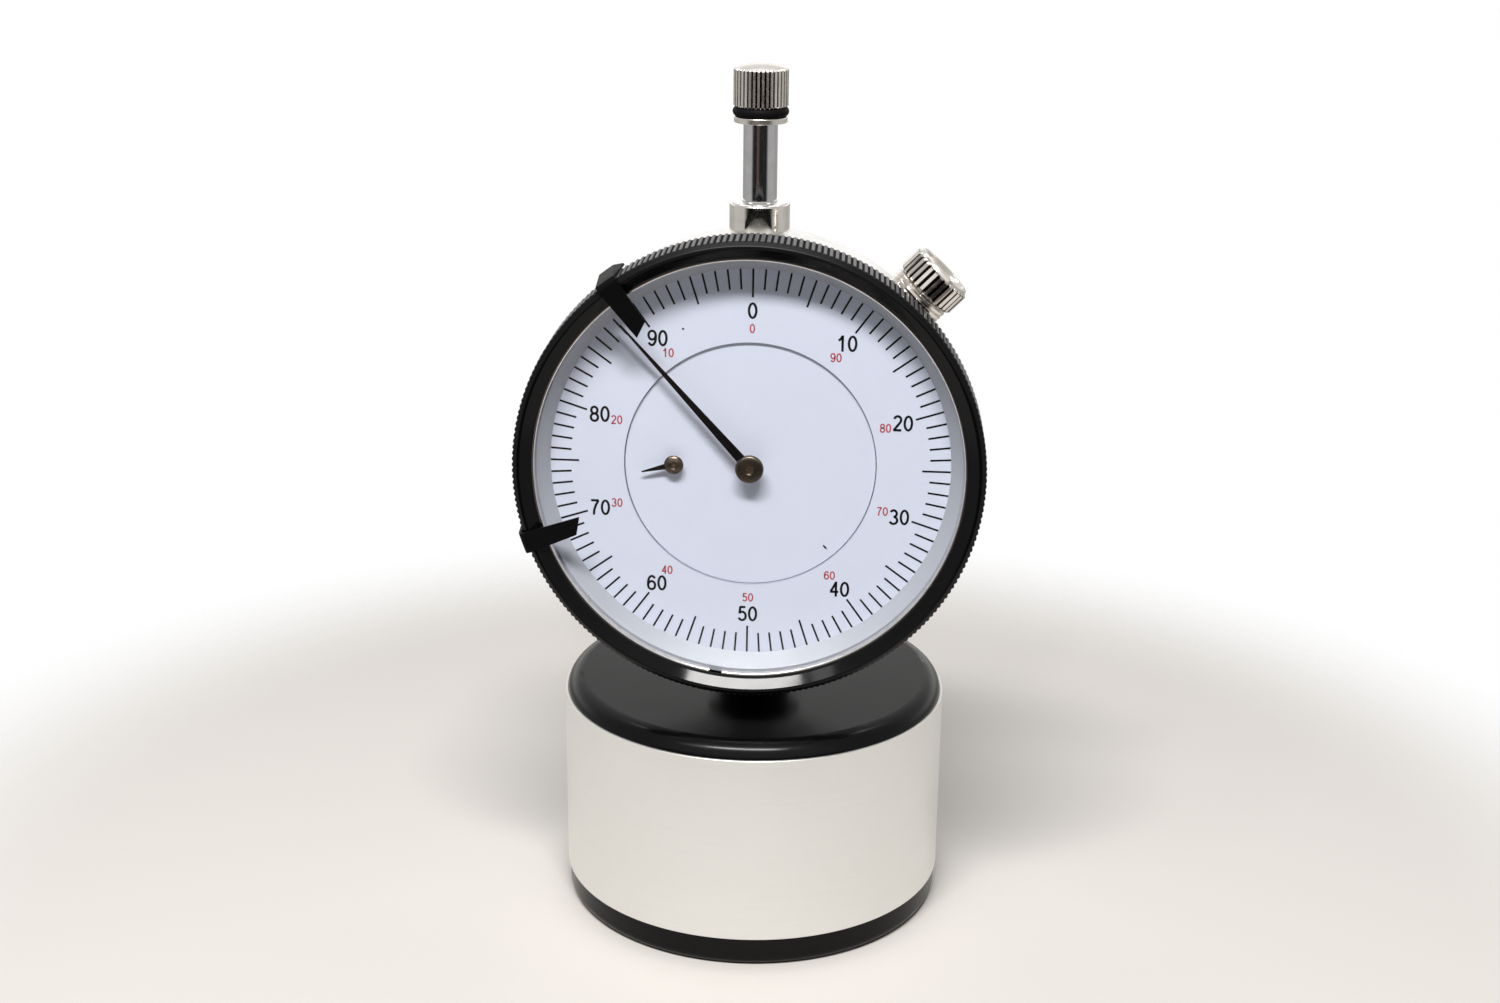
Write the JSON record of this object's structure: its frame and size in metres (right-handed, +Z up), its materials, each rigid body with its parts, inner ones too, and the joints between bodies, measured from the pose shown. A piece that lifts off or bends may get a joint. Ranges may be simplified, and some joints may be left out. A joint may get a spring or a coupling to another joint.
{
  "type": "plunger dial tension gauge",
  "caption": "Plunger dial gauge on a heavy round base for reading drum head tension, with a turning bezel, two sliding limit clips, a lock knob and a ribbed lifting cap.",
  "frame": {"origin": "centre of the base's underside, on the plunger's axis", "axes": "+Z up along the plunger, the dial faces -Y, +X to the right as one reads the dial"},
  "size_m": [0.0576, 0.0508, 0.1112],
  "materials": {
    "black_paint": "gloss",
    "label_metal": "satin",
    "black_steel": "satin",
    "plain_steel": "fine turned",
    "polished_steel": "polished",
    "plated_case": "satin chrome",
    "nickel": "bright nickel",
    "brass_parts": "fine turned",
    "dial_white": "printed white, half matt",
    "rehaut_grey": "half matt",
    "hand_black": "half matt",
    "hub_bronze": "dark turned",
    "black_bezel": "black anodised, fine turned",
    "marker_black": "half matt",
    "clear_crystal": "clear",
    "black_rubber": "matt"
  },
  "bodies": {
    "gauge": {"base_weight": "black_paint", "label_band": "label_metal", "base_set_screw": "black_steel", "stem": "plain_steel", "case_body": "plated_case", "back_cover": "plated_case", "back_cover_screws": "plain_steel", "top_bushing": "nickel", "lock_bushing": "nickel", "bezel_clamp_shoe": "plain_steel", "bezel_snap_ring": "plain_steel", "movement_front_plate": "brass_parts", "movement_main_plate": "brass_parts", "pinion_bridge": "brass_parts", "front_pillars": "brass_parts", "bridge_pillars": "brass_parts", "movement_screws": "plain_steel", "dial_centre": "dial_white", "guide_rail": "brass_parts", "spring_post": "plain_steel", "return_spring": "plain_steel", "hairspring": "plain_steel", "hairspring_stud": "brass_parts"},
    "plunger": {"spindle": "polished_steel", "contact_point": "polished_steel", "guide_arm": "brass_parts", "spindle_cap": "nickel", "cap_o_ring": "black_rubber"},
    "rack_wheel": {"rack_pinion": "plain_steel", "first_wheel": "brass_parts"},
    "long_hand": {"centre_pinion": "plain_steel", "main_hand": "hand_black", "main_hand_hub": "hub_bronze"},
    "count_hand": {"counter_arbor": "plain_steel", "counter_wheel": "brass_parts", "counter_hand": "hand_black", "counter_hub": "hub_bronze"},
    "bezel_group": {"bezel": "black_bezel", "crystal": "clear_crystal", "crystal_ring": "plain_steel", "rehaut": "rehaut_grey", "dial_ring": "dial_white"},
    "upper_marker": {"marker_upper": "marker_black"},
    "lower_marker": {"marker_lower": "marker_black"},
    "lock_knob": {"lock_screw": "nickel"}
  },
  "joints": [
    {"name": "plunger_slide", "type": "slide", "parent": "gauge", "child": "plunger", "axis": [0, 0, 1], "range_m": [-0.00285, 0.0069], "stiffness_N_per_m": 30, "springref_m": -0.03, "deforming": ["return_spring"]},
    {"name": "hand_turn", "type": "hinge", "parent": "gauge", "child": "long_hand", "pos_m": [0, -0.0172, 0.0644], "axis": [0, 1, 0], "range_deg": [-1027, 2485]},
    {"name": "rack_wheel_turn", "type": "hinge", "parent": "gauge", "child": "rack_wheel", "pos_m": [-0.0034, 0, 0.05569], "axis": [0, 1, 0], "range_deg": [-249, 103]},
    {"name": "count_hand_turn", "type": "hinge", "parent": "gauge", "child": "count_hand", "pos_m": [-0.00935, -0.0164, 0.0644], "axis": [0, 1, 0], "range_deg": [-249, 103]},
    {"name": "bezel_turn", "type": "hinge", "parent": "gauge", "child": "bezel_group", "pos_m": [0, -0.017, 0.0644], "axis": [0, 1, 0], "continuous": true},
    {"name": "upper_marker_slide_round", "type": "hinge", "parent": "bezel_group", "child": "upper_marker", "pos_m": [0, -0.019, 0.0644], "axis": [0, 1, 0], "range_deg": [-32, 137]},
    {"name": "lower_marker_slide_round", "type": "hinge", "parent": "bezel_group", "child": "lower_marker", "pos_m": [0, -0.019, 0.0644], "axis": [0, 1, 0], "range_deg": [-137, 32]},
    {"name": "lock_screw_turn", "type": "hinge", "parent": "gauge", "child": "lock_knob", "pos_m": [0.02066, -0.01, 0.08546], "axis": [0.7003, 0, 0.7139], "range_deg": [-30, 330]}
  ],
  "couplings": [
    {"joint": "hand_turn", "follows": "plunger_slide", "rad_per_m": 6283.2},
    {"joint": "rack_wheel_turn", "follows": "plunger_slide", "rad_per_m": -628.32},
    {"joint": "count_hand_turn", "follows": "plunger_slide", "rad_per_m": -628.32}
  ]
}
